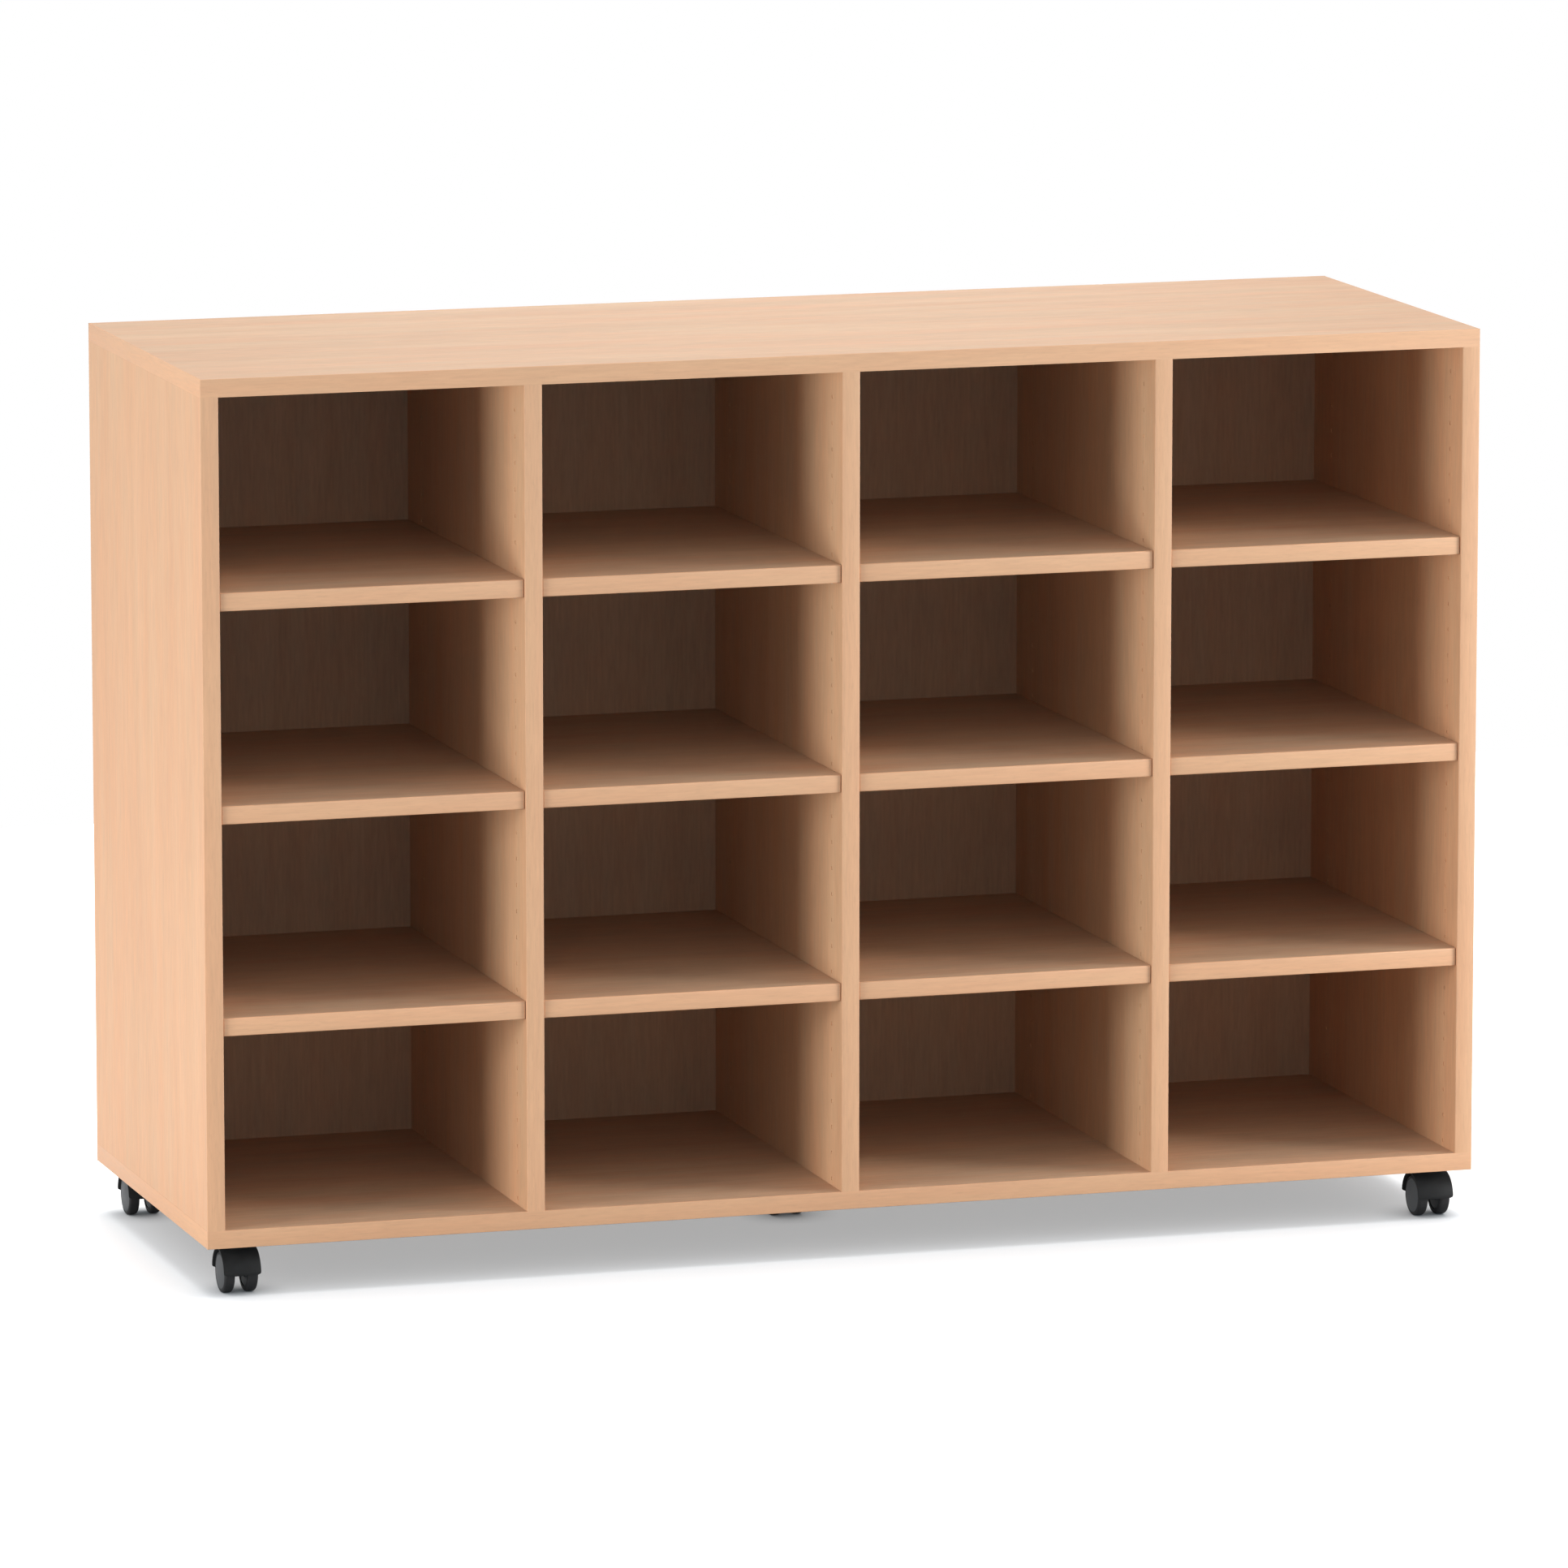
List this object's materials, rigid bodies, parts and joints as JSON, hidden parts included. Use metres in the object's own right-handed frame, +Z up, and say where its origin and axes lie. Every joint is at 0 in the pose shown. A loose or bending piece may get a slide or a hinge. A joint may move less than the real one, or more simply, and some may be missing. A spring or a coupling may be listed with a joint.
{
  "type": "mobile tray storage unit",
  "caption": "Low mobile storage unit with a grid of open compartments: beech-look carcass with line-bored uprights, loose adjustable shelves and hooded twin-wheel castors.",
  "frame": {"origin": "on the floor under the middle of the unit: centre of the bounding box at its bottom", "axes": "+X to the right seen from the open front, +Y to the back, +Z up; the open front faces -Y"},
  "size_m": [1.61, 0.557, 1.1075],
  "materials": {
    "beech_board": "beech-look melamine board, satin, with matching edge bands",
    "zinc_steel": "zinc-plated steel",
    "black_plastic": "moulded black nylon, fine satin",
    "wheel_plastic": "moulded dark grey nylon wheel"
  },
  "bodies": {
    "carcass": {"top_panel": "beech_board", "base_panel": "beech_board", "back_panel": "beech_board", "side_panel_left": "beech_board", "divider_1": "beech_board", "divider_2": "beech_board", "divider_3": "beech_board", "side_panel_right": "beech_board", "castor_front_left_plate": "zinc_steel", "castor_front_right_plate": "zinc_steel", "castor_rear_left_plate": "zinc_steel", "castor_rear_right_plate": "zinc_steel", "castor_centre_plate": "zinc_steel"},
    "shelf_column1_level1": {"shelf_column1_level1": "beech_board"},
    "shelf_column1_level2": {"shelf_column1_level2": "beech_board"},
    "shelf_column1_level3": {"shelf_column1_level3": "beech_board"},
    "shelf_column2_level1": {"shelf_column2_level1": "beech_board"},
    "shelf_column2_level2": {"shelf_column2_level2": "beech_board"},
    "shelf_column2_level3": {"shelf_column2_level3": "beech_board"},
    "shelf_column3_level1": {"shelf_column3_level1": "beech_board"},
    "shelf_column3_level2": {"shelf_column3_level2": "beech_board"},
    "shelf_column3_level3": {"shelf_column3_level3": "beech_board"},
    "shelf_column4_level1": {"shelf_column4_level1": "beech_board"},
    "shelf_column4_level2": {"shelf_column4_level2": "beech_board"},
    "shelf_column4_level3": {"shelf_column4_level3": "beech_board"},
    "castor_front_left_fork": {"castor_front_left_housing": "black_plastic", "castor_front_left_axle": "zinc_steel"},
    "castor_front_left_roller_left": {"castor_front_left_wheel_left": "wheel_plastic"},
    "castor_front_left_roller_right": {"castor_front_left_wheel_right": "wheel_plastic"},
    "castor_front_right_fork": {"castor_front_right_housing": "black_plastic", "castor_front_right_axle": "zinc_steel"},
    "castor_front_right_roller_left": {"castor_front_right_wheel_left": "wheel_plastic"},
    "castor_front_right_roller_right": {"castor_front_right_wheel_right": "wheel_plastic"},
    "castor_rear_left_fork": {"castor_rear_left_housing": "black_plastic", "castor_rear_left_axle": "zinc_steel"},
    "castor_rear_left_roller_left": {"castor_rear_left_wheel_left": "wheel_plastic"},
    "castor_rear_left_roller_right": {"castor_rear_left_wheel_right": "wheel_plastic"},
    "castor_rear_right_fork": {"castor_rear_right_housing": "black_plastic", "castor_rear_right_axle": "zinc_steel"},
    "castor_rear_right_roller_left": {"castor_rear_right_wheel_left": "wheel_plastic"},
    "castor_rear_right_roller_right": {"castor_rear_right_wheel_right": "wheel_plastic"},
    "castor_centre_fork": {"castor_centre_housing": "black_plastic", "castor_centre_axle": "zinc_steel"},
    "castor_centre_roller_left": {"castor_centre_wheel_left": "wheel_plastic"},
    "castor_centre_roller_right": {"castor_centre_wheel_right": "wheel_plastic"}
  },
  "joints": [
    {"name": "shelf_column1_level1_pull_out", "type": "slide", "parent": "carcass", "child": "shelf_column1_level1", "axis": [0, -1, 0], "range_m": [0, 0.56]},
    {"name": "shelf_column1_level2_pull_out", "type": "slide", "parent": "carcass", "child": "shelf_column1_level2", "axis": [0, -1, 0], "range_m": [0, 0.56]},
    {"name": "shelf_column1_level3_pull_out", "type": "slide", "parent": "carcass", "child": "shelf_column1_level3", "axis": [0, -1, 0], "range_m": [0, 0.56]},
    {"name": "shelf_column2_level1_pull_out", "type": "slide", "parent": "carcass", "child": "shelf_column2_level1", "axis": [0, -1, 0], "range_m": [0, 0.56]},
    {"name": "shelf_column2_level2_pull_out", "type": "slide", "parent": "carcass", "child": "shelf_column2_level2", "axis": [0, -1, 0], "range_m": [0, 0.56]},
    {"name": "shelf_column2_level3_pull_out", "type": "slide", "parent": "carcass", "child": "shelf_column2_level3", "axis": [0, -1, 0], "range_m": [0, 0.56]},
    {"name": "shelf_column3_level1_pull_out", "type": "slide", "parent": "carcass", "child": "shelf_column3_level1", "axis": [0, -1, 0], "range_m": [0, 0.56]},
    {"name": "shelf_column3_level2_pull_out", "type": "slide", "parent": "carcass", "child": "shelf_column3_level2", "axis": [0, -1, 0], "range_m": [0, 0.56]},
    {"name": "shelf_column3_level3_pull_out", "type": "slide", "parent": "carcass", "child": "shelf_column3_level3", "axis": [0, -1, 0], "range_m": [0, 0.56]},
    {"name": "shelf_column4_level1_pull_out", "type": "slide", "parent": "carcass", "child": "shelf_column4_level1", "axis": [0, -1, 0], "range_m": [0, 0.56]},
    {"name": "shelf_column4_level2_pull_out", "type": "slide", "parent": "carcass", "child": "shelf_column4_level2", "axis": [0, -1, 0], "range_m": [0, 0.56]},
    {"name": "shelf_column4_level3_pull_out", "type": "slide", "parent": "carcass", "child": "shelf_column4_level3", "axis": [0, -1, 0], "range_m": [0, 0.56]},
    {"name": "castor_front_left_swivel", "type": "hinge", "parent": "carcass", "child": "castor_front_left_fork", "pos_m": [-0.7606, -0.2375, 0.0578], "axis": [0, 0, 1], "continuous": true},
    {"name": "castor_front_left_roll_left", "type": "hinge", "parent": "castor_front_left_fork", "child": "castor_front_left_roller_left", "pos_m": [-0.7606, -0.2435, 0.025], "axis": [1, 0, 0], "continuous": true},
    {"name": "castor_front_left_roll_right", "type": "hinge", "parent": "castor_front_left_fork", "child": "castor_front_left_roller_right", "pos_m": [-0.7606, -0.2435, 0.025], "axis": [1, 0, 0], "continuous": true},
    {"name": "castor_front_right_swivel", "type": "hinge", "parent": "carcass", "child": "castor_front_right_fork", "pos_m": [0.7606, -0.2375, 0.0578], "axis": [0, 0, 1], "continuous": true},
    {"name": "castor_front_right_roll_left", "type": "hinge", "parent": "castor_front_right_fork", "child": "castor_front_right_roller_left", "pos_m": [0.7606, -0.2435, 0.025], "axis": [1, 0, 0], "continuous": true},
    {"name": "castor_front_right_roll_right", "type": "hinge", "parent": "castor_front_right_fork", "child": "castor_front_right_roller_right", "pos_m": [0.7606, -0.2435, 0.025], "axis": [1, 0, 0], "continuous": true},
    {"name": "castor_rear_left_swivel", "type": "hinge", "parent": "carcass", "child": "castor_rear_left_fork", "pos_m": [-0.7606, 0.2375, 0.0578], "axis": [0, 0, 1], "continuous": true},
    {"name": "castor_rear_left_roll_left", "type": "hinge", "parent": "castor_rear_left_fork", "child": "castor_rear_left_roller_left", "pos_m": [-0.7606, 0.2315, 0.025], "axis": [1, 0, 0], "continuous": true},
    {"name": "castor_rear_left_roll_right", "type": "hinge", "parent": "castor_rear_left_fork", "child": "castor_rear_left_roller_right", "pos_m": [-0.7606, 0.2315, 0.025], "axis": [1, 0, 0], "continuous": true},
    {"name": "castor_rear_right_swivel", "type": "hinge", "parent": "carcass", "child": "castor_rear_right_fork", "pos_m": [0.7606, 0.2375, 0.0578], "axis": [0, 0, 1], "continuous": true},
    {"name": "castor_rear_right_roll_left", "type": "hinge", "parent": "castor_rear_right_fork", "child": "castor_rear_right_roller_left", "pos_m": [0.7606, 0.2315, 0.025], "axis": [1, 0, 0], "continuous": true},
    {"name": "castor_rear_right_roll_right", "type": "hinge", "parent": "castor_rear_right_fork", "child": "castor_rear_right_roller_right", "pos_m": [0.7606, 0.2315, 0.025], "axis": [1, 0, 0], "continuous": true},
    {"name": "castor_centre_swivel", "type": "hinge", "parent": "carcass", "child": "castor_centre_fork", "pos_m": [0, 0, 0.0578], "axis": [0, 0, 1], "continuous": true},
    {"name": "castor_centre_roll_left", "type": "hinge", "parent": "castor_centre_fork", "child": "castor_centre_roller_left", "pos_m": [0, -0.006, 0.025], "axis": [1, 0, 0], "continuous": true},
    {"name": "castor_centre_roll_right", "type": "hinge", "parent": "castor_centre_fork", "child": "castor_centre_roller_right", "pos_m": [0, -0.006, 0.025], "axis": [1, 0, 0], "continuous": true}
  ]
}
